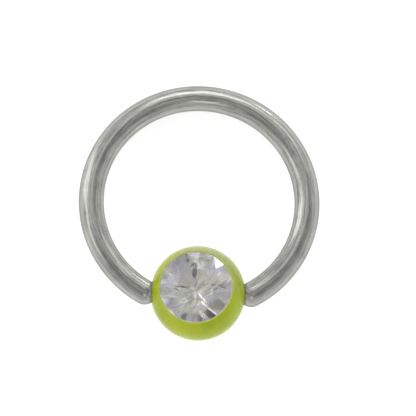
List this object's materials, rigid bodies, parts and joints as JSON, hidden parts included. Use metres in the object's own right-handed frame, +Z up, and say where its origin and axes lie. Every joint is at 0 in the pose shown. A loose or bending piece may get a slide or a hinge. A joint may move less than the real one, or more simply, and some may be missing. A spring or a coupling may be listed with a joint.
{
  "type": "captive bead ring",
  "caption": "Round steel wire hoop with domed ends that hold a clear lime acrylic bead with a cut, foil-backed clear stone set in its front, for a piercing.",
  "frame": {"origin": "centre of the ring's outline as it lies on its side, on the surface it lies on", "axes": "+Z up from the surface, +Y from the bead towards the far side of the hoop, +X to the right along the line through the two wire ends"},
  "size_m": [0.0154, 0.0164, 0.0056],
  "materials": {
    "steel_wire": "polished, finely drawn",
    "lime_acrylic": "clear and glossy",
    "cut_stone": "polished facets with silver foil behind"
  },
  "bodies": {
    "hoop": {"hoop": "steel_wire"},
    "bead": {"bead": "lime_acrylic", "stone": "cut_stone"}
  },
  "joints": [
    {"name": "bead_spin", "type": "hinge", "parent": "hoop", "child": "bead", "pos_m": [0, -0.00524, 0.003], "axis": [1, 0, 0], "continuous": true}
  ]
}
